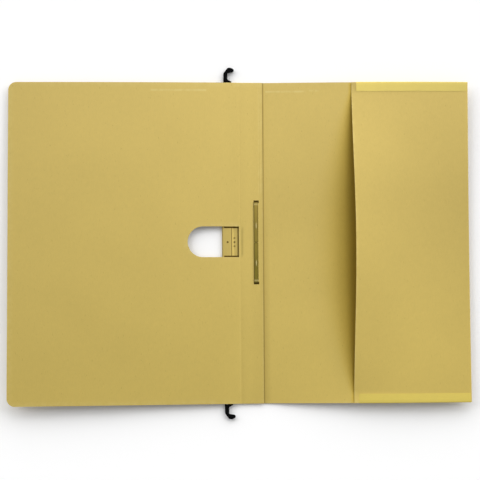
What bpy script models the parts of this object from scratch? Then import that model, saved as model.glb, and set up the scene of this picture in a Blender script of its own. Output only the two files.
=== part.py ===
"""Hanging file folder, lying open on a table with its inner side up.

A card front cover folds about a crease beside a steel hanger rail. The back cover is wrapped
round the rail, its far end is folded over into a taped pocket, and a two-tongue fastener sits
under the glued flange of the front cover. Black moulded hooks end the rail.
+X runs from the front cover to the pocket, +Y along the rail, +Z up from the table.
"""
import bpy
import bmesh
from math import acos, cos, pi, radians, sin, tan
from mathutils import Vector

MM = 0.001

# Sheet stock and the room between glued layers.
CARD = 0.4 * MM
TAPE = 0.2 * MM
LAYER_GAP = 0.3 * MM
CREASE_GAP = 0.3 * MM

# Covers, measured from the crease between the front cover and its flange.
BODY_HEIGHT = 318.0 * MM
COVER_REACH = 228.0 * MM
BACK_REACH = 228.0 * MM
COVER_CORNER = 8.0 * MM
COVER_SLOPE = radians(2.2)
COVER_EASE = 14.0 * MM
HOLE_REACH = 52.0 * MM
HOLE_HEIGHT = 29.0 * MM
HOLE_BRIDGE = 2.0 * MM

# Hanger rail and the sleeve of card around it.
RAIL_WIDTH = 8.0 * MM
RAIL_THICKNESS = 1.0 * MM
SLEEVE_FOLD = 18.0 * MM
SLEEVE_RAMP = 1.6 * MM
SLEEVE_SIDE_GAP = 0.6 * MM

# Hooks at the rail's ends.
HOOK_REACH = 15.0 * MM
HOOK_SHAFT = 4.0 * MM
HOOK_OFFSET = 0.9 * MM
HOOK_CHEEK = 0.8 * MM
HOOK_HEAD = 5.5 * MM
HOOK_UNDERCUT = 0.7 * MM
HOOK_HEAD_LENGTH = 10.3 * MM
HOOK_FOOT = 7.9 * MM
HOOK_FOOT_RIM = 0.9 * MM
HOOK_FOOT_TAPER = 2.0 * MM
HOOK_CHAMFER = 3.2 * MM
HOOK_EDGE = 0.4 * MM
SOCKET_WALL = 0.7 * MM
TANG_LENGTH = 8.0 * MM

# Two-tongue fastener under the flange.
FASTENER_X = 16.0 * MM
FASTENER_PITCH = 80.0 * MM
STRIP_WIDTH = 4.8 * MM
STRIP_THICKNESS = 0.35 * MM
SLOT_CLEARANCE = 0.8 * MM
SLOT_OUTER = 1.4 * MM
TONGUE_TIP_GAP = 0.4 * MM
TONGUE_CORNER = 0.9 * MM
RIB_PLACE = 21.0 * MM
RIB_LENGTH = 8.0 * MM
RIB_WIDTH = 1.6 * MM
RIB_HEIGHT = 0.15 * MM
FLANGE_EDGE = 6.5 * MM
FLAP_EDGE = 2.0 * MM

# Pocket folded over from the back cover's far edge, and the tapes that close its sides.
POCKET_DEPTH = 117.0 * MM
POCKET_LIP = 1.0 * MM
POCKET_GAPE = 18.5 * MM
GAPE_POWER = 1.4
TAPE_WIDTH = 9.0 * MM
TAPE_SETBACK = 5.7 * MM
TAPE_END = 1.0 * MM
EDGE_LIFT = 6.4 * MM
END_CURL = 5.0 * MM

# Heights above the table, built up layer by layer. The hooks lie on the table.
half_height = BODY_HEIGHT / 2
hook_thickness = RAIL_THICKNESS + 2 * (LAYER_GAP + HOOK_CHEEK)
rail_mid = hook_thickness / 2
back_top = rail_mid - RAIL_THICKNESS / 2 - LAYER_GAP
back_mid = back_top - CARD / 2
sleeve_mid = rail_mid + RAIL_THICKNESS / 2 + LAYER_GAP + CARD / 2
sleeve_top = sleeve_mid + CARD / 2
flap_mid = back_top + LAYER_GAP + CARD / 2
flange_mid = flap_mid + CARD + LAYER_GAP
flange_top = flange_mid + CARD / 2
tongue_mid = flange_top + LAYER_GAP + STRIP_THICKNESS / 2

# Places across the folder, from the crease.
sleeve_radius = (sleeve_mid - back_mid) / 2
rail_left = -SLEEVE_FOLD + CARD / 2 + sleeve_radius
rail_right = rail_left + RAIL_WIDTH
shoulder = rail_right + SLEEVE_SIDE_GAP
fold_radius = (flap_mid - back_mid) / 2
fold_x = BACK_REACH - CARD / 2 - fold_radius
hook_left = rail_left + HOOK_OFFSET
tang_width = HOOK_SHAFT - 2 * (SOCKET_WALL + LAYER_GAP)
flange_far = FASTENER_X + FLANGE_EDGE
pocket_start = fold_x - POCKET_DEPTH

# Steps along the sheets that are not flat.
SHEET_STEPS = 32
PANEL_STEPS = 12

collection = bpy.data.collections.new("hanging_file_folder")
cutters = bpy.data.collections.new("cutters")


def clear_scene():
    for obj in list(bpy.data.objects):
        bpy.data.objects.remove(obj, do_unlink=True)
    bpy.context.scene.collection.children.link(collection)
    bpy.context.scene.collection.children.link(cutters)


def material(name, colour, roughness, metallic=0.0):
    made = bpy.data.materials.new(name)
    made.use_nodes = True
    shader = made.node_tree.nodes["Principled BSDF"]
    shader.inputs["Base Color"].default_value = (*colour, 1.0)
    shader.inputs["Roughness"].default_value = roughness
    shader.inputs["Metallic"].default_value = metallic
    made.diffuse_color = (*colour, 1.0)
    return made


def place(mesh, name, folder, location=(0, 0, 0), rotation=(0, 0, 0)):
    obj = bpy.data.objects.new(name, mesh)
    collection.objects.link(obj)
    obj.parent = folder
    obj.location = location
    obj.rotation_euler = rotation
    return obj


def arc(centre, radius, start, end, steps):
    """Points on an arc in a plane, from one angle to the other."""
    angles = [start + (end - start) * i / steps for i in range(steps + 1)]
    return [(centre[0] + radius * cos(a), centre[1] + radius * sin(a)) for a in angles]


def rounded(corners):
    """A closed outline with each corner (x, y, radius) rounded."""
    outline = []
    for i, (x, y, radius) in enumerate(corners):
        here = Vector((x, y))
        back = (Vector(corners[i - 1][:2]) - here).normalized()
        ahead = (Vector(corners[(i + 1) % len(corners)][:2]) - here).normalized()
        if radius == 0:
            outline.append((x, y))
            continue
        half = acos(max(-1.0, min(1.0, back.dot(ahead)))) / 2
        centre = here + (back + ahead).normalized() * radius / sin(half)
        first = here + back * radius / tan(half) - centre
        turn = (ahead * radius / tan(half) + here - centre).angle_signed(first)
        steps = max(2, round(abs(turn) / radians(15)))
        for k in range(steps + 1):
            step = turn * k / steps
            outline.append((centre.x + first.x * cos(step) - first.y * sin(step),
                            centre.y + first.x * sin(step) + first.y * cos(step)))
    return outline


def plate_mesh(name, outlines, thickness):
    """A flat plate about z = 0; outlines after the first are holes."""
    curve = bpy.data.curves.new(name, "CURVE")
    curve.dimensions = "2D"
    curve.fill_mode = "BOTH"
    curve.extrude = thickness / 2
    for outline in outlines:
        spline = curve.splines.new("POLY")
        spline.points.add(len(outline) - 1)
        for point, (x, y) in zip(spline.points, outline):
            point.co = (x, y, 0, 1)
        spline.use_cyclic_u = True
    drawn = bpy.data.objects.new(name, curve)
    collection.objects.link(drawn)
    evaluated = drawn.evaluated_get(bpy.context.evaluated_depsgraph_get())
    mesh = bpy.data.meshes.new_from_object(evaluated)
    bpy.data.objects.remove(drawn, do_unlink=True)
    bm = bmesh.new()
    bm.from_mesh(mesh)
    bmesh.ops.remove_doubles(bm, verts=bm.verts, dist=1e-6)
    bmesh.ops.recalc_face_normals(bm, faces=bm.faces)
    bm.to_mesh(mesh)
    bm.free()
    mesh.name = name
    return mesh


def lift(x, y):
    """How far the gaping pocket pulls the back cover's long edges and far end off the table."""
    run = max(0.0, (x - flange_far) / (BACK_REACH - flange_far))
    return EDGE_LIFT * sin(0.85 * pi * run) * (y / half_height) ** 2 + END_CURL * run ** 2


def folded_mesh(name, profile, along, steps=1):
    """An open sheet: a line of points swept along a straight edge, and lifted with the cover."""
    bm = bmesh.new()
    points = [bm.verts.new(point) for point in profile]
    edges = [bm.edges.new(pair) for pair in zip(points, points[1:])]
    for step in range(steps):
        swept = bmesh.ops.extrude_edge_only(bm, edges=edges)
        edges = [item for item in swept["geom"] if isinstance(item, bmesh.types.BMEdge)]
        moved = [item for item in swept["geom"] if isinstance(item, bmesh.types.BMVert)]
        bmesh.ops.translate(bm, verts=moved, vec=Vector(along) / steps)
    if steps > 1:
        for vert in bm.verts:
            vert.co.z += lift(vert.co.x, vert.co.y)
    mesh = bpy.data.meshes.new(name)
    bm.to_mesh(mesh)
    bm.free()
    return mesh


def give_thickness(obj, thickness):
    shell = obj.modifiers.new("sheet thickness", "SOLIDIFY")
    shell.thickness = thickness
    shell.offset = 0.0
    shell.use_even_offset = True


def cut(obj, cutter, operation):
    cutters.objects.link(cutter)
    collection.objects.unlink(cutter)
    cutter.hide_render = True
    cutter.display_type = "WIRE"
    trim = obj.modifiers.new(cutter.name, "BOOLEAN")
    trim.operation = operation
    trim.solver = "EXACT"
    trim.object = cutter


def cover_profile():
    """The front cover climbs over the rail's sleeve, then eases to its resting slope."""
    rise = (sleeve_top + LAYER_GAP + CARD / 2 - flange_mid) / -shoulder
    steps = 6
    slopes = [rise + (tan(COVER_SLOPE) - rise) * (i + 0.5) / steps for i in range(steps)]
    points = [(CARD, flange_mid - CARD * rise), (shoulder, flange_mid - shoulder * rise)]
    for slope in slopes:
        x, z = points[-1]
        points.append((x - COVER_EASE / steps, z + slope * COVER_EASE / steps))
    x, z = points[-1]
    far = -COVER_REACH - COVER_CORNER
    points.append((far, z + (x - far) * tan(COVER_SLOPE)))
    return points


def cover_outlines():
    """Rounded free corners, and a finger hole with one round end, just short of the crease."""
    near = -CREASE_GAP / 2
    sheet = rounded([
        (near, half_height, 0),
        (near, -half_height, 0),
        (-COVER_REACH, -half_height, COVER_CORNER),
        (-COVER_REACH, half_height, COVER_CORNER),
    ])
    half = HOLE_HEIGHT / 2
    hole = arc((-HOLE_REACH + half, 0), half, pi / 2, 3 * pi / 2, 24)
    return [sheet, hole + [(-HOLE_BRIDGE, -half), (-HOLE_BRIDGE, half)]]


def front_cover(folder, card):
    """The sheet is placed by its crease, on the upper face, about which it folds."""
    profile = [(x, -half_height - COVER_CORNER, z - flange_top) for x, z in cover_profile()]
    sheet = folded_mesh("front_cover", profile, (0, BODY_HEIGHT + 2 * COVER_CORNER, 0))
    cover = place(sheet, "front_cover", folder, (0, 0, flange_top))
    cover.data.materials.append(card)
    give_thickness(cover, CARD)
    depth = 4 * (COVER_REACH * tan(COVER_SLOPE) + sleeve_top)
    outline = place(plate_mesh("cover_outline", cover_outlines(), depth), "cover_outline", folder,
                    (0, 0, flange_top))
    cut(cover, outline, "INTERSECT")


def slot_outline(side):
    """A punched slot, longer on the outer side of the leg that comes up through it."""
    half = STRIP_WIDTH / 2 + SLOT_CLEARANCE
    inner = side * (FASTENER_PITCH / 2 - STRIP_THICKNESS / 2 - SLOT_CLEARANCE)
    outer = side * (FASTENER_PITCH / 2 + STRIP_THICKNESS / 2 + SLOT_OUTER)
    return [(FASTENER_X - half, inner), (FASTENER_X + half, inner), (FASTENER_X + half, outer),
            (FASTENER_X - half, outer)]


def cover_flange(folder, card):
    near = CREASE_GAP / 2
    edge = [(near, -half_height), (flange_far, -half_height), (flange_far, half_height),
            (near, half_height)]
    slots = [slot_outline(1), slot_outline(-1)]
    flange = place(plate_mesh("cover_flange", [edge] + slots, CARD), "cover_flange", folder,
                   (0, 0, flange_mid))
    flange.data.materials.append(card)


def back_cover(folder, card):
    """Glue flap, sleeve round the rail, and the back panel, in one folded sheet."""
    flap_end = FASTENER_X - STRIP_WIDTH / 2 - FLAP_EDGE
    line = [(flap_end, flap_mid), (shoulder + SLEEVE_RAMP, flap_mid), (shoulder, sleeve_mid)]
    line += arc((rail_left, back_mid + sleeve_radius), sleeve_radius, pi / 2, 3 * pi / 2, 8)
    back_end = fold_x - POCKET_LIP - CREASE_GAP
    for step in range(PANEL_STEPS + 1):
        line.append((flange_far + (back_end - flange_far) * step / PANEL_STEPS, back_mid))
    profile = [(x, -half_height, z) for x, z in line]
    back = place(folded_mesh("back_cover", profile, (0, BODY_HEIGHT, 0), SHEET_STEPS), "back_cover",
                 folder)
    back.data.materials.append(card)
    give_thickness(back, CARD)


def pocket_point(step, y, line):
    """A point of the pocket sheet: a tight fold, then a panel that gapes at its mouth."""
    if step < len(line):
        x, z = line[step]
        return (x, y, z + lift(x, y))
    run = (step - len(line) + 1) / PANEL_STEPS
    held = half_height - TAPE_WIDTH - CARD
    bow = cos(pi / 2 * y / held) if abs(y) < held else 0.0
    rise = POCKET_GAPE * bow
    pulled_in = (rise * GAPE_POWER) ** 2 / (2 * POCKET_DEPTH * (2 * GAPE_POWER - 1))
    x = fold_x - POCKET_DEPTH * run + pulled_in * run ** (2 * GAPE_POWER - 1)
    return (x, y, flap_mid + lift(x, y) + rise * run ** GAPE_POWER)


def pocket_panel(folder, card):
    line = [(fold_x - POCKET_LIP, back_mid)]
    line += arc((fold_x, back_mid + fold_radius), fold_radius, -pi / 2, pi / 2, 6)
    last = len(line) + PANEL_STEPS - 1
    bm = bmesh.new()
    bmesh.ops.create_grid(bm, x_segments=last, y_segments=SHEET_STEPS, size=1.0)
    for vert in bm.verts:
        step = round((vert.co.x + 1) / 2 * last)
        vert.co = pocket_point(step, vert.co.y * half_height, line)
    mesh = bpy.data.meshes.new("pocket_panel")
    bm.to_mesh(mesh)
    bm.free()
    panel = place(mesh, "pocket_panel", folder)
    panel.data.materials.append(card)
    give_thickness(panel, CARD)


def pocket_tape(folder, film, name, side):
    """A strip folded round the edge of the back cover and the pocket panel."""
    inner = half_height - TAPE_WIDTH
    outer = half_height + LAYER_GAP + TAPE / 2
    over = flap_mid + CARD / 2 + LAYER_GAP + TAPE / 2
    under = back_mid - CARD / 2 - LAYER_GAP - TAPE / 2
    start = pocket_start + TAPE_SETBACK
    length = BACK_REACH - TAPE_END - start
    line = [(inner, under), (outer, under), (outer, over), (inner, over)]
    profile = [(start, side * y, z) for y, z in line]
    tape = place(folded_mesh(name, profile, (length, 0, 0), PANEL_STEPS), name, folder)
    tape.data.materials.append(film)
    give_thickness(tape, TAPE)


def hanger_rail(folder, steel):
    """A flat steel strip with a narrow tang at each end for the hooks."""
    tang_left = hook_left + SOCKET_WALL + LAYER_GAP
    tang_right = tang_left + tang_width
    tang_end = half_height + TANG_LENGTH
    upper = [(rail_right, half_height), (tang_right, half_height), (tang_right, tang_end),
             (tang_left, tang_end), (tang_left, half_height), (rail_left, half_height)]
    outline = upper + [(x, -y) for x, y in reversed(upper)]
    rail = place(plate_mesh("hanger_rail", [outline], RAIL_THICKNESS), "hanger_rail", folder,
                 (0, 0, rail_mid))
    rail.data.materials.append(steel)


def hook_outline():
    """Foot on the card's edge, shaft, and a blunt head that points across the mouth."""
    shaft_right = hook_left + HOOK_SHAFT
    foot_right = hook_left + HOOK_FOOT
    tip = hook_left + HOOK_HEAD_LENGTH
    foot = half_height + LAYER_GAP
    rim = foot + HOOK_FOOT_RIM
    top = half_height + HOOK_REACH
    throat = top - HOOK_HEAD
    nose = (HOOK_HEAD - HOOK_UNDERCUT) * 0.6
    chin = (HOOK_HEAD - HOOK_UNDERCUT) * 0.36
    return rounded([
        (hook_left, foot, 0.4 * MM),
        (foot_right, foot, 0.3 * MM),
        (foot_right, rim, 0.4 * MM),
        (shaft_right, rim + HOOK_FOOT_TAPER, 1.0 * MM),
        (shaft_right, throat, 1.2 * MM),
        (tip, throat + HOOK_UNDERCUT, chin),
        (tip, top, nose),
        (hook_left + HOOK_CHAMFER, top, 2.5 * MM),
        (hook_left, throat, 3.0 * MM),
    ])


def hook(folder, plastic, name, side):
    """One moulding serves both ends: turned over, it fits the other end of the rail."""
    turn = (0, 0, 0) if side > 0 else (pi, 0, 0)
    hooked = place(plate_mesh(name, [hook_outline()], hook_thickness), name, folder, (0, 0, rail_mid), turn)
    hooked.data.materials.append(plastic)
    edge = hooked.modifiers.new("moulded edge", "BEVEL")
    edge.width = HOOK_EDGE
    edge.segments = 2
    edge.limit_method = "ANGLE"
    edge.angle_limit = radians(40)
    left = hook_left + SOCKET_WALL
    right = hook_left + HOOK_SHAFT - SOCKET_WALL
    low = half_height - LAYER_GAP
    high = half_height + TANG_LENGTH + LAYER_GAP
    walls = [(left, low), (right, low), (right, high), (left, high)]
    socket = place(plate_mesh(name + "_socket", [walls], RAIL_THICKNESS + 2 * LAYER_GAP),
                   name + "_socket", folder, (0, 0, rail_mid), turn)
    cut(hooked, socket, "DIFFERENCE")


def fastener_base(folder, metal):
    """A strip between the back cover and the flange, with an upright leg in each slot."""
    low = back_top + LAYER_GAP + STRIP_THICKNESS / 2
    high = tongue_mid - STRIP_THICKNESS / 2 - LAYER_GAP
    reach = FASTENER_PITCH / 2
    left = FASTENER_X - STRIP_WIDTH / 2
    profile = [(left, -reach, high), (left, -reach, low), (left, reach, low), (left, reach, high)]
    base = place(folded_mesh("fastener_base", profile, (STRIP_WIDTH, 0, 0)), "fastener_base", folder)
    base.data.materials.append(metal)
    give_thickness(base, STRIP_THICKNESS)


def tongue(folder, metal, name, side):
    """A bendable tongue, placed by the line on which it bends, with a pressed rib."""
    length = (FASTENER_PITCH - TONGUE_TIP_GAP) / 2
    half = STRIP_WIDTH / 2
    outline = rounded([(-half, 0, 0), (-half, -length, TONGUE_CORNER), (half, -length, TONGUE_CORNER),
                       (half, 0, 0)])
    turn = (0, 0, 0) if side > 0 else (0, 0, pi)
    spot = (FASTENER_X, side * FASTENER_PITCH / 2, tongue_mid)
    bent = place(plate_mesh(name, [outline], STRIP_THICKNESS), name, folder, spot, turn)
    bent.data.materials.append(metal)
    bm = bmesh.new()
    bmesh.ops.create_uvsphere(bm, u_segments=20, v_segments=8, radius=1.0)
    tall = STRIP_THICKNESS / 2 + RIB_HEIGHT
    bmesh.ops.scale(bm, vec=(RIB_WIDTH / 2, RIB_LENGTH / 2, tall), verts=bm.verts)
    bmesh.ops.bisect_plane(bm, geom=bm.verts[:] + bm.edges[:] + bm.faces[:], plane_co=(0, 0, 0),
                           plane_no=(0, 0, 1), clear_inner=True)
    bmesh.ops.holes_fill(bm, edges=[edge for edge in bm.edges if edge.is_boundary])
    bmesh.ops.recalc_face_normals(bm, faces=bm.faces)
    bmesh.ops.translate(bm, verts=bm.verts, vec=(0, -RIB_PLACE, 0))
    ridge = bpy.data.meshes.new(name + "_rib")
    bm.to_mesh(ridge)
    bm.free()
    cut(bent, place(ridge, name + "_rib", folder, spot, turn), "UNION")


def build():
    clear_scene()
    card = material("manila_card", (0.61, 0.45, 0.13), 0.85)
    film = material("edge_tape", (0.72, 0.58, 0.14), 0.5)
    steel = material("rail_steel", (0.45, 0.45, 0.46), 0.4, 0.9)
    plastic = material("black_plastic", (0.01, 0.01, 0.01), 0.45)
    metal = material("fastener_metal", (0.30, 0.24, 0.06), 0.4, 0.8)
    folder = bpy.data.objects.new("folder", None)
    collection.objects.link(folder)
    folder.location = ((COVER_REACH - BACK_REACH) / 2, 0, 0)
    front_cover(folder, card)
    cover_flange(folder, card)
    back_cover(folder, card)
    pocket_panel(folder, card)
    pocket_tape(folder, film, "pocket_tape_top", 1)
    pocket_tape(folder, film, "pocket_tape_bottom", -1)
    hanger_rail(folder, steel)
    hook(folder, plastic, "hook_top", 1)
    hook(folder, plastic, "hook_bottom", -1)
    fastener_base(folder, metal)
    tongue(folder, metal, "tongue_top", 1)
    tongue(folder, metal, "tongue_bottom", -1)


build()
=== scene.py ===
import math

import bmesh
import bpy
import numpy as np
from mathutils import Matrix, Vector, noise


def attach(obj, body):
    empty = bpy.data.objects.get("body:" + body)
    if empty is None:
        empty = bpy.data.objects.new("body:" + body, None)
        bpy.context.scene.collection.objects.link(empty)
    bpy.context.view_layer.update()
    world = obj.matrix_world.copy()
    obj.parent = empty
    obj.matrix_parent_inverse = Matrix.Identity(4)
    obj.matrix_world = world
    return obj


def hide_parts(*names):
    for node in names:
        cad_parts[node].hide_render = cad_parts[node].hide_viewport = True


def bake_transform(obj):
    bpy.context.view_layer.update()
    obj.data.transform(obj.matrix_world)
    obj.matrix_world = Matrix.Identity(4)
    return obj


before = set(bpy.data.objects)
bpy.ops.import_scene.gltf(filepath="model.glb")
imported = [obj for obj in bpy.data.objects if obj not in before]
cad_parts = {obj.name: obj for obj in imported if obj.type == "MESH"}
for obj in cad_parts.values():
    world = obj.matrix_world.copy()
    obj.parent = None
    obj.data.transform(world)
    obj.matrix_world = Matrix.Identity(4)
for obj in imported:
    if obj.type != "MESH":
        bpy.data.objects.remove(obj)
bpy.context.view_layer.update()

# ------------------------------------------------------------------------------------------------
# Back sheet. One blank of manila card, 0.4 mm thick, cut and scored by a die. Its near end is
# wrapped round the rail and glued back on itself; its far end is folded over as the pocket, whose
# free edge springs open in the middle and draws the back's other edges up off the table.
mm = 0.001  # lengths are in millimetres from the cover's crease, as in the part's own frame
card = 0.4
half_tall = 159.0
back_mid = 0.6
flap_mid = 1.3
flap_far = 11.4
sleeve_mid = 2.6
ramp_foot = -6.2
ramp_step = 0.24
sleeve_from, sleeve_to = -10.5, -15.5
sleeve_fold = (-16.8, 1.6)
sleeve_fold_radius = 1.0
back_from, back_to = -14.0, 226.4
flange_far = 22.5
back_reach = 228.0
edge_lift = 6.4
end_curl = 5.0
fold_centre = (227.45, 0.95)
fold_radius = 0.35
pocket_depth = 116.1
pocket_gape = 18.5
gape_power = 1.4
pocket_held = half_tall - 9.4


def drawn_up(x, y):
    """How far the sprung pocket lifts the back's long edges and its far end at this place."""
    run = max(0.0, (x - flange_far) / (back_reach - flange_far))
    return edge_lift * math.sin(0.85 * math.pi * run) * (y / half_tall) ** 2 + end_curl * run ** 2


def unevenness(x, y, layer):
    """The slow waves that card takes up in use."""
    fine = noise.noise(Vector((x / 55, y / 55, layer)))
    return 0.28 * fine + 0.45 * noise.noise(Vector((x / 130, y / 130, layer + 7)))


def ease(value, start, end):
    """From 0 at start to 1 at end, smoothly."""
    share = min(1.0, max(0.0, (value - start) / (end - start)))
    return share * share * (3 - 2 * share)


def gape(y):
    """How far the pocket springs open across its width: 1 in the middle, 0 where the tapes hold it."""
    return math.cos(math.pi / 2 * y / pocket_held) if abs(y) < pocket_held else 0.0


def back_point(x, z, y):
    """A point of the flat-lying part: flap, sleeve, back and pocket fold."""
    waves = unevenness(x, y, 0) * ease(x, 30, 80) * ease(x, 228, 200)
    return (x, y, z + drawn_up(x, y) + max(waves, -0.25))


def pocket_point(run, y):
    """A point of the pocket panel, from the fold at run 0 to the mouth at run 1."""
    rise = pocket_gape * gape(y)
    drawn_in = (rise * gape_power) ** 2 / (2 * pocket_depth * (2 * gape_power - 1))
    x = fold_centre[0] - pocket_depth * run + drawn_in * run ** (2 * gape_power - 1)
    waves = unevenness(x, y, 3) * ease(run, 0.05, 0.4) * ease(abs(y), 150, 110)
    return (x, y, flap_mid + drawn_up(x, y) + rise * run ** gape_power + waves)


def arc_points(centre, radius, start, end, steps):
    """Points along an arc, between two angles in degrees."""
    turns = [math.radians(start + (end - start) * step / steps) for step in range(steps + 1)]
    return [(centre[0] + radius * math.cos(turn), centre[1] + radius * math.sin(turn))
            for turn in turns]


def new_piece(name, points, sides):
    """A mesh piece from points in millimetres and the sides between them."""
    mesh = bpy.data.meshes.new(name)
    mesh.from_pydata([(x * mm, y * mm, z * mm) for x, y, z in points], [], sides)
    piece = bpy.data.objects.new(name, mesh)
    bpy.context.scene.collection.objects.link(piece)
    return piece


def sheet_sides(rows, columns):
    """The four-sided faces of a sheet whose points stand in rows and columns."""
    return [(row * columns + column, row * columns + column + 1,
             (row + 1) * columns + column + 1, (row + 1) * columns + column)
            for row in range(rows - 1) for column in range(columns - 1)]


def settle(piece):
    """Make the modifiers part of the mesh, with its faces turned outwards."""
    bpy.context.view_layer.update()
    made = piece.evaluated_get(bpy.context.evaluated_depsgraph_get())
    mesh = bpy.data.meshes.new_from_object(made)
    piece.modifiers.clear()
    piece.data = mesh
    work = bmesh.new()
    work.from_mesh(mesh)
    bmesh.ops.remove_doubles(work, verts=work.verts, dist=1e-7)
    many_sided = [side for side in work.faces if len(side.verts) > 4]
    bmesh.ops.triangulate(work, faces=many_sided, ngon_method="BEAUTY")
    bmesh.ops.recalc_face_normals(work, faces=work.faces)
    work.to_mesh(mesh)
    work.free()


def thicken(piece, thickness):
    """Give a sheet its thickness, half of it to each side, with the second finish on its cut edge."""
    shell = piece.modifiers.new("sheet thickness", "SOLIDIFY")
    shell.thickness = thickness * mm
    shell.offset = 0.0
    shell.use_even_offset = True
    shell.material_offset_rim = 1
    settle(piece)


def smooth(piece, degrees):
    """Shade the piece smoothly, but for edges sharper than this."""
    piece.data.shade_smooth()
    piece.data.set_sharp_from_angle(angle=math.radians(degrees))


def mark(piece, name, amount):
    """Keep an amount at each point of the piece, such as its wear, for the finish to read."""
    layer = piece.data.attributes.new(name, "FLOAT", "POINT")
    for point, value in zip(piece.data.vertices, layer.data):
        value.value = amount(point.co.x / mm, point.co.y / mm, point.co.z / mm)


def add_node(tree, kind, sockets=None, **options):
    """A node with its options and sockets set; a socket of another node is linked to it."""
    made = tree.nodes.new(kind)
    for option, choice in options.items():
        setattr(made, option, choice)
    for socket, value in (sockets or {}).items():
        if isinstance(value, bpy.types.NodeSocket):
            tree.links.new(value, made.inputs[socket])
        else:
            made.inputs[socket].default_value = value
    return made.outputs


def new_finish(name):
    """A finish, with its tree, its shader and the place on the piece that its textures follow."""
    finish = bpy.data.materials.new(name)
    finish.use_nodes = True
    tree = finish.node_tree
    place = add_node(tree, "ShaderNodeTexCoord")["Object"]
    return finish, tree, tree.nodes["Principled BSDF"], place


def parts_of(tree, place):
    """The place's x, y and z."""
    return tuple(add_node(tree, "ShaderNodeSeparateXYZ", {0: place}))


def stretched(tree, place, scale, turned=(0.0, 0.0, 0.0)):
    """The place, scaled by a different amount each way, for a texture that runs one way."""
    sockets = {"Vector": place, "Rotation": turned, "Scale": scale}
    return add_node(tree, "ShaderNodeMapping", sockets)[0]


def clouds(tree, place, scale, detail, harshness=0.5):
    """A cloudy texture about one half."""
    sockets = {"Vector": place, "Scale": scale, "Detail": detail, "Roughness": harshness}
    return add_node(tree, "ShaderNodeTexNoise", sockets)[0]


def marked_as(tree, name):
    """What mark() has kept on the piece under this name."""
    return add_node(tree, "ShaderNodeAttribute", attribute_name=name)["Fac"]


def graded(tree, value, start, end, low=0.0, high=1.0):
    """From low, where the value is at start, evenly to high, where it is at end."""
    sockets = {"Value": value, "From Min": start, "From Max": end, "To Min": low, "To Max": high}
    return add_node(tree, "ShaderNodeMapRange", sockets)[0]


def worked_out(tree, operation, *values):
    """One step of arithmetic on values of the surface."""
    return add_node(tree, "ShaderNodeMath", dict(enumerate(values)), operation=operation)[0]


def sums(tree, parts, start):
    """start plus each (texture value less a half) times its weight."""
    total = start
    for value, weight in parts:
        level = worked_out(tree, "MULTIPLY_ADD", value, weight, -weight / 2)
        total = worked_out(tree, "ADD", level, total)
    return total


def inside(tree, value, middle, reach):
    """1 where a length is within reach of the middle, both in millimetres."""
    return worked_out(tree, "COMPARE", value, middle * mm, reach * mm)


def product(tree, first, *others):
    for other in others:
        first = worked_out(tree, "MULTIPLY", first, other)
    return first


def either(tree, first, *others):
    for other in others:
        first = worked_out(tree, "MAXIMUM", first, other)
    return first


def tinted(tree, amount, below, above):
    """The first colour, with the second over it by the amount."""
    return add_node(tree, "ShaderNodeMix", {0: amount, 6: below, 7: above}, data_type="RGBA")[2]


def toned(tree, colour, level):
    """The colour, lighter or darker by the level."""
    return add_node(tree, "ShaderNodeHueSaturation", {"Value": level, "Color": colour})[0]


def emboss(tree, shader, height, strength, depth):
    """A fine relief on the surface, as deep as this in millimetres."""
    sockets = {"Strength": strength, "Distance": depth * mm, "Height": height}
    tree.links.new(add_node(tree, "ShaderNodeBump", sockets)[0], shader.inputs["Normal"])


card_colour = (0.634, 0.478, 0.125, 1.0)
card_upper = (0.656, 0.494, 0.149, 1.0)
card_shadow_tint = (0.630, 0.425, 0.040, 1.0)
card_pale = (0.700, 0.560, 0.205, 1.0)
card_fleck = (0.330, 0.215, 0.045, 1.0)
print_and_shade_colour = (0.070, 0.037, 0.002, 1.0)
upward_from, upward_to = -150.0, 150.0


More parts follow.
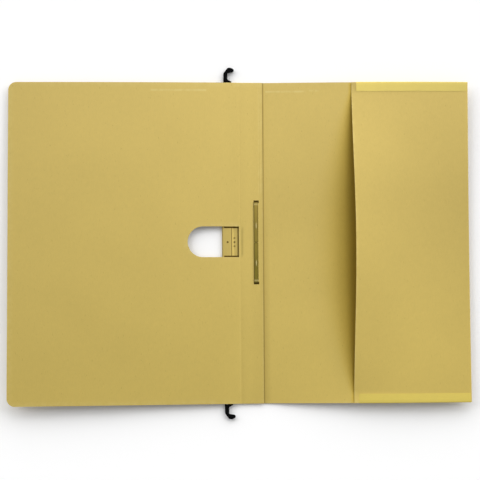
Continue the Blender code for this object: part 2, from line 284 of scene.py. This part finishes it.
def card_finish(name, marks, streaks):
    """Manila card: clouded pulp, paler towards the upper edge, fibres along the rail, dark flecks,
    scuffed edges, and pale streaks from one x to another at a y. Painted shade and a painted
    shadow tint darken it where the pieces mark them, and the marks add print and painted shadows.
    """
    finish, tree, shader, place = new_finish(name)
    across, along, _ = parts_of(tree, place)
    cloud = clouds(tree, place, 16.0, 3.0)
    blotch = clouds(tree, place, 190.0, 4.0, 0.6)
    fibre = clouds(tree, stretched(tree, place, (1700.0, 260.0, 1700.0)), 1.0, 3.0, 0.65)
    strewn = stretched(tree, place, (900.0, 320.0, 900.0), (0.3, 0.2, 0.9))
    fleck = graded(tree, clouds(tree, strewn, 1.0, 1.0), 0.70, 0.80, 0.0, 0.30)
    # Painted shade: the marked amount darkens the card, or lightens it below 0, to even out how the
    # light falls on it.
    painted_shade_level = worked_out(tree, "MULTIPLY_ADD", marked_as(tree, "painted_shade"), -0.075, 1.0)
    tone = sums(tree, [(cloud, 0.07), (blotch, 0.07), (fibre, 0.13)], painted_shade_level)
    # Paler and less saturated towards the upper edge.
    upward_share = graded(tree, along, upward_from * mm, upward_to * mm)
    pulp = tinted(tree, upward_share, card_colour, card_upper)
    # The pocket mouth's shadow, painted a deeper, browner colour.
    pulp = tinted(tree, marked_as(tree, "mouth_shadow_tint"), pulp, card_shadow_tint)
    pulp = tinted(tree, fleck, toned(tree, pulp, tone), card_fleck)
    rubbed = graded(tree, blotch, 0.35, 0.65, 0.0, 0.55)
    pulp = tinted(tree, product(tree, marked_as(tree, "edge_wear_and_shade"), rubbed), pulp, card_pale)
    for start, end, level in streaks:
        away = worked_out(tree, "ABSOLUTE", worked_out(tree, "SUBTRACT", along, level * mm))
        thin = graded(tree, away, 1.3 * mm, 0.3 * mm)
        reach = inside(tree, across, (start + end) / 2, (end - start) / 2)
        patchy = graded(tree, blotch, 0.38, 0.55, 0.25)
        pulp = tinted(tree, product(tree, thin, reach, patchy), pulp, card_pale)
    if marks:
        # Print, and the painted shadows of the marks.
        pulp = tinted(tree, marks(tree, place), pulp, print_and_shade_colour)
    tree.links.new(pulp, shader.inputs["Base Color"])
    tree.links.new(graded(tree, fibre, 0.3, 0.7, 0.76, 0.92), shader.inputs["Roughness"])
    shader.inputs["Specular IOR Level"].default_value = 0.12
    emboss(tree, shader, sums(tree, [(fibre, 0.7), (blotch, 0.5)], 0.5), 0.35, 0.05)
    return finish


def sleeve_print_and_shade(tree, place):
    """Painted shadows along the finger hole's edges where the cover lies over the sleeve, a thin dark
    line across the sleeve and dots printed in it; a painted shadow beside the flange's edge, and
    painted shadow in the fastener's slots.
    """
    across, along, height = parts_of(tree, place)
    frame_mid, frame_half = 0.57, 14.33
    framed = worked_out(tree, "ABSOLUTE", worked_out(tree, "SUBTRACT", along, frame_mid * mm))
    # Painted shadows: the long lines and the end line fall where the hole's edges lie over the sleeve.
    long_lines = product(tree, inside(tree, framed, frame_half, 0.7), inside(tree, across, -8.5, 7.5))
    end_line = product(tree, inside(tree, across, -1.95, 0.98), inside(tree, framed, 7.2, 7.8), 0.52)
    middle_line = product(tree, inside(tree, across, -8.5, 0.38), inside(tree, framed, 7.2, 7.3), 0.7)
    shadow_lines_and_print = either(tree, long_lines, end_line, middle_line)
    spot = add_node(tree, "ShaderNodeCombineXYZ", {0: across, 1: along})[0]
    for x, y, ink in ((-12.5, 0.3, 0.9), (-5.7, 4.3, 0.6), (-5.7, 0.3, 0.8), (-5.7, -3.7, 0.6)):
        ends = {0: spot, 1: (x * mm, y * mm, 0.0)}
        away = add_node(tree, "ShaderNodeVectorMath", ends, operation="DISTANCE")[1]
        dot = worked_out(tree, "LESS_THAN", away, 1.0 * mm)
        shadow_lines_and_print = either(tree, shadow_lines_and_print, product(tree, dot, ink))
    on_sleeve = worked_out(tree, "GREATER_THAN", height, 1.0 * mm)
    shadow_lines_and_print = product(tree, shadow_lines_and_print, on_sleeve, 0.97)
    upper_side = worked_out(tree, "GREATER_THAN", height, 0.62 * mm)
    # Painted shadow: a dark line along the flange's edge and a soft shade beside it, widening
    # downwards.
    glue_and_edge_shadow = graded(tree, across, 24.4 * mm, 23.5 * mm, 0.0, 0.45)
    spread = graded(tree, along, 100 * mm, -20 * mm, 0.04, 0.16)
    film_and_shade = product(tree, graded(tree, across, 29.7 * mm, 23.8 * mm), spread)
    beside = inside(tree, across, 26.0, 4.2)
    flange_shadow = product(tree, either(tree, glue_and_edge_shadow, film_and_shade), beside, upper_side)
    off_middle = worked_out(tree, "ABSOLUTE", along)
    # Painted shadow in the slots, on the back under the fastener's legs.
    slot_shadow = product(tree, inside(tree, across, 16.0, 3.4), inside(tree, off_middle, 40.7, 1.2))
    return either(tree, shadow_lines_and_print, flange_shadow, product(tree, slot_shadow, 0.9, upper_side))


def cut_card_finish():
    """The cut edge of the card: paler, with open fibres and no pressed skin."""
    finish, tree, shader, place = new_finish("manila_card_cut_edge")
    fibre = clouds(tree, place, 2600.0, 3.0)
    pulp = toned(tree, card_pale, sums(tree, [(fibre, 0.35)], 0.97))
    tree.links.new(pulp, shader.inputs["Base Color"])
    shader.inputs["Roughness"].default_value = 0.95
    shader.inputs["Specular IOR Level"].default_value = 0.2
    emboss(tree, shader, fibre, 0.5, 0.06)
    return finish


folded = [(x, flap_mid) for x in np.linspace(flap_far, ramp_foot, 8)]
for step in range(1, 11):
    climbed = (sleeve_mid - flap_mid) * ease(step, 0, 10)
    folded.append((ramp_foot - ramp_step * step, flap_mid + climbed))
folded += [(x, sleeve_mid) for x in np.linspace(sleeve_from, sleeve_to, 3)]
folded += arc_points(sleeve_fold, sleeve_fold_radius, 90, 270, 16)
folded += [(x, back_mid) for x in np.linspace(back_from, back_to, 84)]
folded += arc_points(fold_centre, fold_radius, -90, 90, 12)
heights = np.linspace(-half_tall, half_tall, 107)
panel_runs = np.linspace(0, 1, 46)[1:]
points = [back_point(x, z, y) for x, z in folded for y in heights]
points += [pocket_point(run, y) for run in panel_runs for y in heights]
back_sheet = new_piece("back_sheet", points,
                       sheet_sides(len(folded) + len(panel_runs), len(heights)))
back_streaks = [(26.0, 66.0, 150.2), (69.5, 74.0, 151.0), (75.5, 79.5, 150.8)]
manila_cut = cut_card_finish()
back_sheet.data.materials.append(card_finish("manila_card_back", sleeve_print_and_shade, back_streaks))
back_sheet.data.materials.append(manila_cut)
thicken(back_sheet, card)
smooth(back_sheet, 40)


def on_back(x, y, z):
    """Whether a point belongs to the back itself, and not to the sleeve or the panel above it."""
    return z <= back_mid + drawn_up(x, y) + 0.5


def back_wear(x, y, z):
    """Scuffed long edges, and a scuffed edge at the pocket's mouth."""
    mouth = pocket_point(1.0, y)[0]
    at_mouth = x > 100 and not on_back(x, y, z)
    return max(ease(abs(y), half_tall - 2.5, half_tall),
               ease(x, mouth + 3.0, mouth) if at_mouth else 0.0)


def back_painted_shade(x, y, z):
    """Painted shade and light: the back darker above its middle and lighter low down, the pocket
    darker all over but lighter at its lower corner, and the sleeve darker where the finger hole
    bares it under the cover's edge.
    """
    on_panel = ease(z - back_mid - drawn_up(x, y), 0.5, 0.6) * ease(x, 108, 109)
    panel_shade = math.exp(-(y / 85) ** 2) * ease(x, 110, 220)
    upper_corner = ease(y, 20, 120) * (0.35 + 0.4 * ease(x, 150, 215))
    panel_shade += ease(y, -115, -15) * (1.2 + upper_corner) + 0.7 * ease(x, 170, 220) * ease(y, -50, -100)
    panel_shade -= 0.9 * ease(y, -70, -150) * ease(x, 190, 120)
    back_shade = 0.85 * math.exp(-((y - 45) / 42) ** 2) - 0.5 * ease(y, -40, -80) * ease(x, 140, 108)
    hole_shade = ease(z, 0.8, 1.0) * ease(x, 0, -1) * ease(abs(y), 40, 20)
    return on_panel * panel_shade + back_shade * ease(x, 22, 32) + 1.2 * hole_shade


def back_mouth_shadow_tint(x, y, z):
    """A deeper, browner colour painted into the shadow beside the pocket's mouth, widest where it
    gapes most.
    """
    if not on_back(x, y, z):
        return 0.0
    away = max(0.0, pocket_point(1.0, y)[0] - x) / (4.0 + 40.0 * gape(y))
    return 0.85 * max(0.0, 1.0 - away) ** 1.6


mark(back_sheet, "edge_wear_and_shade", back_wear)
mark(back_sheet, "mouth_shadow_tint", back_mouth_shadow_tint)
mark(back_sheet, "painted_shade", back_painted_shade)
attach(back_sheet, "folder")
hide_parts("back_cover", "pocket_panel")

# ------------------------------------------------------------------------------------------------
# Hanger rail. A flat strip of cold-rolled steel, 8 by 1 mm, cropped to length with a narrow tang
# at each end. It lies loose inside the card sleeve, and the hooks are pressed on to its tangs.
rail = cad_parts["hanger_rail"]
steel_colour = (0.46, 0.46, 0.47, 1.0)
rail_steel, tree, shader, place = new_finish("rolled_steel")
drag = clouds(tree, stretched(tree, place, (5200.0, 70.0, 5200.0)), 1.0, 4.0)
oil = clouds(tree, place, 240.0, 3.0)
sheen = toned(tree, steel_colour, sums(tree, [(drag, 0.30), (oil, 0.22)], 1.0))
tree.links.new(sheen, shader.inputs["Base Color"])
shader.inputs["Metallic"].default_value = 1.0
tree.links.new(graded(tree, drag, 0.3, 0.7, 0.26, 0.44), shader.inputs["Roughness"])
emboss(tree, shader, drag, 0.3, 0.02)
rail.data.materials.clear()
rail.data.materials.append(rail_steel)


def break_edges(piece, width):
    """Take the sharpness off the edges."""
    broken = piece.modifiers.new("broken edges", "BEVEL")
    broken.width = width * mm
    broken.segments = 2
    broken.limit_method = "ANGLE"
    return broken


break_edges(rail, 0.12)

# ------------------------------------------------------------------------------------------------
# Hooks. Black moulded plastic, 3.2 mm thick with rounded edges: a foot on the card's edge, a shaft
# that takes the rail's tang, and a tapered head pointing across the mouth. One mould makes both;
# the lower one is the same piece turned over.
hook_thick = 3.2
hook_round = 0.42
hook_left = -15.9
rail_mid = 1.6
socket_left, socket_right = hook_left + 0.7, hook_left + 3.3
socket_low, socket_high = 158.6, 167.3
socket_thick = 1.6
hook_corners = [
    (hook_left, 159.3, 0.5), (hook_left + 7.9, 159.3, 0.45), (hook_left + 7.9, 160.2, 0.5),
    (hook_left + 4.0, 162.2, 1.4), (hook_left + 4.0, 168.9, 1.0), (hook_left + 10.2, 170.0, 1.3),
    (hook_left + 10.4, 172.4, 1.0), (hook_left + 7.4, 174.0, 2.2), (hook_left + 4.2, 174.0, 2.6),
    (hook_left, 168.3, 3.4),
]


def rounded_outline(corners):
    """A closed outline in which each corner (x, y, radius) is rounded."""
    outline = []
    for number, (x, y, radius) in enumerate(corners):
        here = Vector((x, y))
        back = (Vector(corners[number - 1][:2]) - here).normalized()
        ahead = (Vector(corners[(number + 1) % len(corners)][:2]) - here).normalized()
        if radius == 0:
            outline.append((x, y))
            continue
        half = back.angle(ahead) / 2
        centre = here + (back + ahead).normalized() * radius / math.sin(half)
        first = here + back * radius / math.tan(half) - centre
        last = here + ahead * radius / math.tan(half) - centre
        turn = last.angle_signed(first)
        steps = max(3, round(abs(math.degrees(turn)) / 7))
        for step in range(steps + 1):
            spun = Matrix.Rotation(turn * step / steps, 2) @ first
            outline.append((centre.x + spun.x, centre.y + spun.y))
    return outline


def plate(name, outlines, thickness, edge):
    """A flat plate about z = 0 with rounded edges; outlines after the first are holes."""
    curve = bpy.data.curves.new(name, "CURVE")
    curve.dimensions = "2D"
    curve.fill_mode = "BOTH"
    curve.extrude = (thickness / 2 - edge) * mm
    curve.bevel_depth = edge * mm
    curve.bevel_resolution = 3
    curve.offset = -edge * mm
    for outline in outlines:
        spline = curve.splines.new("POLY")
        spline.points.add(len(outline) - 1)
        for point, (x, y) in zip(spline.points, outline):
            point.co = (x * mm, y * mm, 0, 1)
        spline.use_cyclic_u = True
    piece = bpy.data.objects.new(name, curve)
    bpy.context.scene.collection.objects.link(piece)
    made = piece.evaluated_get(bpy.context.evaluated_depsgraph_get())
    mesh = bpy.data.meshes.new_from_object(made)
    bpy.data.objects.remove(piece)
    piece = bpy.data.objects.new(name, mesh)
    bpy.context.scene.collection.objects.link(piece)
    settle(piece)
    return piece


def shape_with(piece, tool, operation):
    """Cut the piece with the tool, or keep only what lies inside it, and take the tool away."""
    trim = piece.modifiers.new("cut", "BOOLEAN")
    trim.operation = operation
    trim.solver = "EXACT"
    trim.object = tool
    settle(piece)
    bpy.data.objects.remove(tool)


plastic_colour = (0.0014, 0.0014, 0.0016, 1.0)
black_plastic, tree, shader, place = new_finish("black_moulded_plastic")
spark = clouds(tree, place, 5200.0, 2.0)
flow = clouds(tree, place, 260.0, 3.0)
tint = toned(tree, plastic_colour, sums(tree, [(spark, 0.5), (flow, 0.7)], 1.0))
tree.links.new(tint, shader.inputs["Base Color"])
tree.links.new(graded(tree, flow, 0.3, 0.7, 0.38, 0.56), shader.inputs["Roughness"])
shader.inputs["Specular IOR Level"].default_value = 0.03
emboss(tree, shader, spark, 0.25, 0.03)
socket_walls = [(socket_left, socket_low), (socket_right, socket_low),
                (socket_right, socket_high), (socket_left, socket_high)]
for name, turned in (("hook_top", 0.0), ("hook_bottom", math.pi)):
    hook = plate(name + "_moulding", [rounded_outline(hook_corners)], hook_thick, hook_round)
    shape_with(hook, plate("socket", [socket_walls], socket_thick, 0.0), "DIFFERENCE")
    to_rail = Matrix.Translation((0, 0, rail_mid * mm))
    hook.data.transform(to_rail @ Matrix.Rotation(turned, 4, "X"))
    smooth(hook, 35)
    hook.data.materials.clear()
    hook.data.materials.append(black_plastic)
    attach(hook, "folder")
    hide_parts(name)

# ------------------------------------------------------------------------------------------------
# Fastener base. A strip of brassed sheet metal, 4.3 mm wide, laid on the back sheet beside the
# glue flap. It is bent up at both ends, so that its legs come through the slots of the flange.
strip_wide = 4.3
strip_thick = 0.35
strip_x = 15.75
leg_y = 40.0
leg_top = 1.75
base_mid = 1.275
base_bend = 0.3
brass_bright = (0.195, 0.142, 0.026, 1.0)
brass_lower = (0.112, 0.088, 0.010, 1.0)
brass_edge_shade = (0.050, 0.034, 0.004, 1.0)
brass_highlight = (0.66, 0.56, 0.27, 1.0)

fastener_metal, tree, shader, place = new_finish("brassed_sheet_metal")
drag = clouds(tree, stretched(tree, place, (3800.0, 120.0, 3800.0)), 1.0, 3.0)
stain = clouds(tree, place, 85.0, 3.0)
# Darker towards the lower end.
lower_share = graded(tree, parts_of(tree, place)[1], 35 * mm, -25 * mm)
lacquer = tinted(tree, lower_share, brass_bright, brass_lower)
lacquer = toned(tree, lacquer, sums(tree, [(drag, 0.25), (stain, 0.35)], 0.95))
# Painted shade on the tongues' edges, bend and tip; the card's pieces use this mark for real scuffing.
lacquer = tinted(tree, product(tree, marked_as(tree, "edge_wear_and_shade"), 0.62), lacquer, brass_edge_shade)
# Painted highlight on the tongues' ribs and short of the bends.
lacquer = tinted(tree, product(tree, marked_as(tree, "painted_highlight"), 0.5), lacquer, brass_highlight)
tree.links.new(lacquer, shader.inputs["Base Color"])
shader.inputs["Metallic"].default_value = 0.85
tree.links.new(graded(tree, drag, 0.3, 0.7, 0.34, 0.50), shader.inputs["Roughness"])
emboss(tree, shader, drag, 0.25, 0.02)

bend_in = leg_y - base_bend
bend_up = base_mid + base_bend
base_line = [(-leg_y, leg_top)] + arc_points((-bend_in, bend_up), base_bend, 180, 270, 6)
base_line += [(y, base_mid) for y in np.linspace(-39, 39, 40)]
base_line += arc_points((bend_in, bend_up), base_bend, 270, 360, 6) + [(leg_y, leg_top)]
widths = np.linspace(-1, 1, 5) * strip_wide / 2
points = [(strip_x + width, y, z) for y, z in base_line for width in widths]
fastener = new_piece("fastener_strip", points, sheet_sides(len(base_line), len(widths)))
fastener.data.materials.append(fastener_metal)
thicken(fastener, strip_thick)
smooth(fastener, 40)
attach(fastener, "folder")
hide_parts("fastener_base")

# ------------------------------------------------------------------------------------------------
# Cover sheet. The second blank of manila card: the front cover, with rounded outer corners and a
# die-cut finger hole, and past the scored crease the flange that is glued over the rail's flap.
# The crease is where it bends; the cover lies on the sleeve and rises a little to its free edge.
flange_mid = 2.0
flange_scores = (18.9, 20.9)
score_end = (44, 50)
shoulder = -8.2
climb = 0.098
crease_mid = 2.3
rest_slope = math.tan(math.radians(2.2))
ease_run = 14.0
cover_reach = 228.0
cover_corner = 8.0
hole_half = 15.2
hole_mid = 0.7
hole_turn = -52.0 + hole_half
hole_right = -1.2
slot_left, slot_right = 13.4, 18.6
slot_inner, slot_outer = 39.025, 41.575


def cover_height(x, y):
    """Middle of the card above the table: flange, crease, climb over the sleeve, and long cover."""
    if x >= 0:
        sprung = 19.2 - 6.5 * ease(abs(y), 46, 75)
        share = max(0.0, (x - sprung) / (flange_far - sprung))
        curl = (0.10 + 0.20 * ease(y, 150, -40)) * share ** 1.5
        scored = sum(math.exp(-((x - score) / 0.3) ** 2) for score in flange_scores)
        height = crease_mid + (flange_mid - crease_mid) * min(1.0, x / 11) + curl
        height -= 0.08 * scored * ease(y, *score_end)
    elif x > shoulder:
        height = crease_mid - climb * x
    else:
        run = min(shoulder - x, ease_run)
        easing = climb * run + (rest_slope - climb) * run * run / (2 * ease_run)
        height = crease_mid - climb * shoulder + easing
        height += max(0.0, shoulder - x - ease_run) * rest_slope
    out = max(0.0, -x / cover_reach)
    twist = -(3.8 + 3.98 * y / half_tall) * out ** 1.6
    waves = 1.3 * unevenness(x, y, 11) * ease(x, -26, -90)
    groove = math.exp(-abs(x - 0.8) / (2.2 if x > 0.8 else 6.0))
    crease = -0.05 * math.exp(-(x / 0.4) ** 2) - 0.32 * ease(y, 20, -140) * groove
    return height + twist + waves + crease


at_crease = {-8.2, -6.5, -5, -3.5, -2.4, -1.5, -0.9, -0.6, -0.35, -0.15, 0, 0.15, 0.35, 0.6, 0.9}
on_flange = {1.5, 2.2, 3, 4, 5, 6.5, 8, 11, 12.7, 14, 15.5, 17.1, 18.0, 22, 23, 26}
at_scores = {18.4, 18.65, 18.9, 19.15, 19.4, 19.9, 20.4, 20.65, 20.9, 21.15, 21.4}
on_cover = {-234, -222} | set(np.arange(-214, -24, 6.0)) | set(np.arange(-23, -8.6, 1.2))
columns = sorted(at_crease | on_flange | at_scores | on_cover)
rows = np.linspace(-163, 163, 72)
points = [(x, y, cover_height(x, y)) for x in columns for y in rows]
cover_sheet = new_piece("cover_sheet", points, sheet_sides(len(columns), len(rows)))
cover_streaks = [(-88.0, -33.0, 151.4)]
cover_sheet.data.materials.append(card_finish("manila_card_cover", None, cover_streaks))
cover_sheet.data.materials.append(manila_cut)
thicken(cover_sheet, card)
blank = rounded_outline([
    (flange_far, half_tall, 0), (flange_far, -half_tall, 0),
    (-cover_reach, -half_tall, cover_corner), (-cover_reach, half_tall, cover_corner),
])
finger_hole = arc_points((hole_turn, hole_mid), hole_half, 90, 270, 48)
finger_hole += [(hole_right, hole_mid - hole_half), (hole_right, hole_mid + hole_half)]
slots = [[(slot_left, side * slot_inner), (slot_right, side * slot_inner),
          (slot_right, side * slot_outer), (slot_left, side * slot_outer)] for side in (1, -1)]
die = plate("die", [blank, finger_hole] + slots, 80.0, 0.0)
die.data.materials.clear()
die.data.materials.append(manila_cut)
shape_with(cover_sheet, die, "INTERSECT")
smooth(cover_sheet, 40)


def cover_wear(x, y, z):
    """Scuffed rims, scores and hole, and a crease that is rubbed towards its lower end."""
    rim = max(ease(abs(y), half_tall - 2.5, half_tall), ease(x, -cover_reach + 2.5, -cover_reach),
              ease(x, flange_far - 1.5, flange_far))
    hole_away = math.hypot(min(0.0, x - hole_turn), y - hole_mid)
    hole_rim = ease(hole_away, hole_half + 2.0, hole_half) if x < 0 else 0.0
    scored = max(ease(abs(x - score), 0.8, 0.2) for score in flange_scores)
    rubbed = 0.25 * ease(abs(x + 0.7), 0.9, 0.2) * ease(y, 0, -120)
    return max(rim, hole_rim, 0.9 * scored * ease(y, *score_end), rubbed)


def cover_painted_shade(x, y, z):
    """Painted shade on both sides of the crease, to take out the light that the climb over the
    sleeve catches, more of it at the upper end, and a dark line beside the finger hole.
    """
    upper = ease(y, -30, 40)
    if x > 0:
        shade_by_hole = ease(abs(x - 1.95), 1.3, 0.7) * ease(abs(y - hole_mid), 16, 12)
        return 0.32 * upper * ease(x, 12, 2) + 3.0 * shade_by_hole
    return (0.4 + 0.4 * upper) * ease(x, -24, -3)


mark(cover_sheet, "edge_wear_and_shade", cover_wear)
mark(cover_sheet, "painted_shade", cover_painted_shade)
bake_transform(cover_sheet)
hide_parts("front_cover", "cover_flange")

# ------------------------------------------------------------------------------------------------
# Tongues. The two ends of the brassed strip, brought up through the slots and folded flat towards
# each other over the punched papers. Each bends on its root, and has a short pressed rib.
tongue_mid = 2.675
tongue_bend = 0.35
tip_gap = 0.05
tip_round = 0.9
rib_high = 0.30
rib_half_wide = 0.7
rib_half_long = 4.0
upper_rib_y = 16.5
lower_rib_y = -20.5


def rib_rise(x, y):
    """The short stiffening rib pressed into each tongue, about halfway along."""
    rib_y = upper_rib_y if y > 0 else lower_rib_y
    return rib_high * ease(math.hypot(x / rib_half_wide, (y - rib_y) / rib_half_long), 1.0, 0.35)


def tongue_piece(name, line):
    """A strip bent along a line of (y, z), with a rounded tip and slightly broken edges."""
    widths = np.linspace(-1, 1, 15)
    points = []
    for y, z in line:
        past_square = max(0.0, tip_gap + tip_round - abs(y))
        rounded = tip_round - math.sqrt(max(0.0, tip_round ** 2 - past_square ** 2))
        half = strip_wide / 2 - rounded
        points += [(strip_x + width * half, y, z + rib_rise(width * half, y)) for width in widths]
    piece = new_piece(name, points, sheet_sides(len(line), len(widths)))
    piece.data.materials.append(fastener_metal)
    thicken(piece, strip_thick)
    break_edges(piece, 0.06).angle_limit = math.radians(60)
    settle(piece)
    smooth(piece, 40)
    return piece


def tongue_edge_shade(x, y, z):
    """Painted shade along the edges, at the bend and at the tip."""
    return max(ease(abs(x - strip_x), 1.2, 2.05), ease(abs(y), 38.9, 39.5), ease(abs(y), 0.9, 0.3))


def tongue_highlight(x, y, z):
    """Painted highlight on the rib and, a little, short of the bend."""
    short_of_bend = ease(abs(y), 36.6, 37.2) * ease(abs(y), 38.9, 38.4)
    return max(rib_rise(x - strip_x, y) / rib_high, 0.35 * short_of_bend)


bend_centre = (leg_y - tongue_bend, tongue_mid - tongue_bend)
tongue_line = [(leg_y, 1.8), (leg_y, 2.0), (leg_y, 2.2)]
tongue_line += arc_points(bend_centre, tongue_bend, 0, 90, 8)
tongue_line += [(y, tongue_mid) for y in np.linspace(39.2, 1.1, 96)]
tongue_line += [(y, tongue_mid) for y in np.linspace(0.9, tip_gap, 8)]
for name, body, side in (("tongue_top", "upper_tongue", 1), ("tongue_bottom", "lower_tongue", -1)):
    tongue = tongue_piece(name + "_strip", [(side * y, z) for y, z in tongue_line])
    mark(tongue, "edge_wear_and_shade", tongue_edge_shade)
    mark(tongue, "painted_highlight", tongue_highlight)
    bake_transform(tongue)
    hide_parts(name)

# ------------------------------------------------------------------------------------------------
# Pocket tapes. Two strips of bright yellow gummed paper tape, 9 mm wide on the upper side, folded
# round the long edges of the back and the pocket panel to close the pocket's ends.
tape = 0.12
tape_gap = 0.03
tape_wide = 9.0
tape_bulge = 0.72
tape_start = 116.15
tape_end = 227.0
tape_over = flap_mid + card / 2 + tape_gap + tape / 2
tape_under = back_mid - card / 2 - tape_gap - tape / 2
tape_yellow = (0.688, 0.543, 0.112, 1.0)
tape_upper = (0.698, 0.554, 0.140, 1.0)

edge_tape, tree, shader, place = new_finish("yellow_gummed_tape")
across, along, _ = parts_of(tree, place)
rib = clouds(tree, stretched(tree, place, (140.0, 2600.0, 2600.0)), 1.0, 3.0)
glue_and_edge_shadow = clouds(tree, place, 120.0, 3.0)
upward_share = graded(tree, along, upward_from * mm, upward_to * mm)
# Painted light and shade along the upper tape: lighter at the mouth end, darker at the far end.
painted_shade_along = graded(tree, across, 116.5 * mm, tape_end * mm, 0.125, -0.175)
painted_tape_light = worked_out(tree, "MULTIPLY_ADD", upward_share, painted_shade_along, 1.0)
film_and_shade = tinted(tree, upward_share, tape_yellow, tape_upper)
film_and_shade = toned(tree, film_and_shade, sums(tree, [(rib, 0.10), (glue_and_edge_shadow, 0.10)], painted_tape_light))
tree.links.new(film_and_shade, shader.inputs["Base Color"])
tree.links.new(graded(tree, glue_and_edge_shadow, 0.3, 0.7, 0.55, 0.72), shader.inputs["Roughness"])
shader.inputs["Specular IOR Level"].default_value = 0.22
emboss(tree, shader, sums(tree, [(rib, 0.5), (glue_and_edge_shadow, 0.8)], 0.5), 0.3, 0.04)

lengths = np.linspace(tape_start, tape_end, 60)
wrap = (tape_over - tape_under) / 2
wrap_mid = (tape_over + tape_under) / 2
for name, side in (("pocket_tape_top", 1), ("pocket_tape_bottom", -1)):
    points = []
    for x in lengths:
        inner = half_tall - tape_wide + 0.22 * noise.noise(Vector((x / 14, side * 5.0, 2.0)))
        section = [(inner + 0.6, tape_under), (half_tall - 3.0, tape_under)]
        section += [(half_tall - 0.5 + tape_bulge * math.cos(turn), wrap_mid + wrap * math.sin(turn))
                    for turn in np.linspace(-math.pi / 2, math.pi / 2, 9)]
        section += [(half_tall - 3.0, tape_over), (half_tall - 6.0, tape_over), (inner, tape_over)]
        points += [(x, side * y, z + drawn_up(x, y)) for y, z in section]
    strip = new_piece(name + "_strip", points, sheet_sides(len(lengths), len(section)))
    strip.data.materials.append(edge_tape)
    thicken(strip, tape)
    smooth(strip, 40)
    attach(strip, "folder")
    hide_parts(name)

# ------------------------------------------------------------------------------------------------
# Table, light and camera. A plain white table top before three windows that give the soft shadow,
# a soft light on the folder from beyond its upper right, a weaker one overhead, an even white
# surround, and a camera looking down.
table_half = 4000
table_paint = (0.80, 0.80, 0.80, 1.0)
white = (1.0, 1.0, 1.0, 1.0)


def seen_directly(tree):
    """1 where the camera sees a surface, also by way of gloss or glass."""
    rays = add_node(tree, "ShaderNodeLightPath")
    return either(tree, rays["Is Camera Ray"], rays["Is Glossy Ray"], rays["Is Transmission Ray"])


table = new_piece("table", [(-table_half, -table_half, 0), (table_half, -table_half, 0),
                            (table_half, table_half, 0), (-table_half, table_half, 0)], [(0, 1, 2, 3)])
table_top = bpy.data.materials.new("white_table")
table_top.use_nodes = True
tree = table_top.node_tree
tree.nodes.remove(tree.nodes["Principled BSDF"])
paint = tinted(tree, seen_directly(tree), table_paint, white)
matt = add_node(tree, "ShaderNodeBsdfDiffuse", {"Color": paint})[0]
tree.links.new(matt, tree.nodes["Material Output"].inputs["Surface"])
table.data.materials.append(table_top)

surround = bpy.data.worlds.new("surround")
surround.use_nodes = True
tree = surround.node_tree
level = graded(tree, seen_directly(tree), 0.0, 1.0, 0.33, 1.0)
tree.links.new(level, tree.nodes["Background"].inputs["Strength"])
tree.nodes["Background"].inputs["Color"].default_value = white
bpy.context.scene.world = surround


def hang_lamp(name, light, toward, reach):
    """A lamp facing back from a direction, which lights the table only or all but the table."""
    lamp = bpy.data.objects.new(name, light)
    bpy.context.scene.collection.objects.link(lamp)
    lamp.rotation_euler = Vector(toward).to_track_quat("Z", "Y").to_euler()
    lit = bpy.data.collections.new(name + " reach")
    lit.objects.link(table)
    lit.collection_objects[0].light_linking.link_state = reach
    lamp.light_linking.receiver_collection = lit
    return lamp


for name, side, watts, spot in (("softbox", 0.9, 25.4, (0.70, 1.10, 0.50)),
                                ("overhead_softbox", 0.8, 5.45, (0.5, 0.1, 1.58))):
    softbox = bpy.data.lights.new(name, "AREA")
    softbox.shape = "SQUARE"
    softbox.size = side
    softbox.energy = watts
    hang_lamp(name, softbox, spot, "EXCLUDE").location = spot

for name, turn in (("left_window", 0.96), ("middle_window", 0.0), ("right_window", -0.96)):
    pane = bpy.data.lights.new(name, "SUN")
    pane.angle = math.radians(50)
    pane.energy = 1.75
    hang_lamp(name, pane, (-math.sin(turn), math.cos(turn), 0.445), "INCLUDE")

film_wide = 36.0
picture_pixels = 480
focal_pixels = 1227.8
lens = bpy.data.cameras.new("camera")
lens.sensor_width = film_wide
lens.lens = focal_pixels / picture_pixels * film_wide
lens.clip_start = 0.05
lens.clip_end = 50.0
camera = bpy.data.objects.new("camera", lens)
bpy.context.scene.collection.objects.link(camera)
roll, lean_across, lean_along = 0.00386, 0.04742, -0.04186
looking = Matrix.Rotation(roll, 3, "Z") @ Matrix.Rotation(lean_across, 3, "Y")
looking = looking @ Matrix.Rotation(lean_along, 3, "X")
standing = Matrix.Translation((-0.05786, -0.04846, 1.21585))
camera.matrix_world = standing @ looking.transposed().to_4x4()
bpy.context.scene.camera = camera
bpy.context.scene.view_settings.view_transform = "Standard"
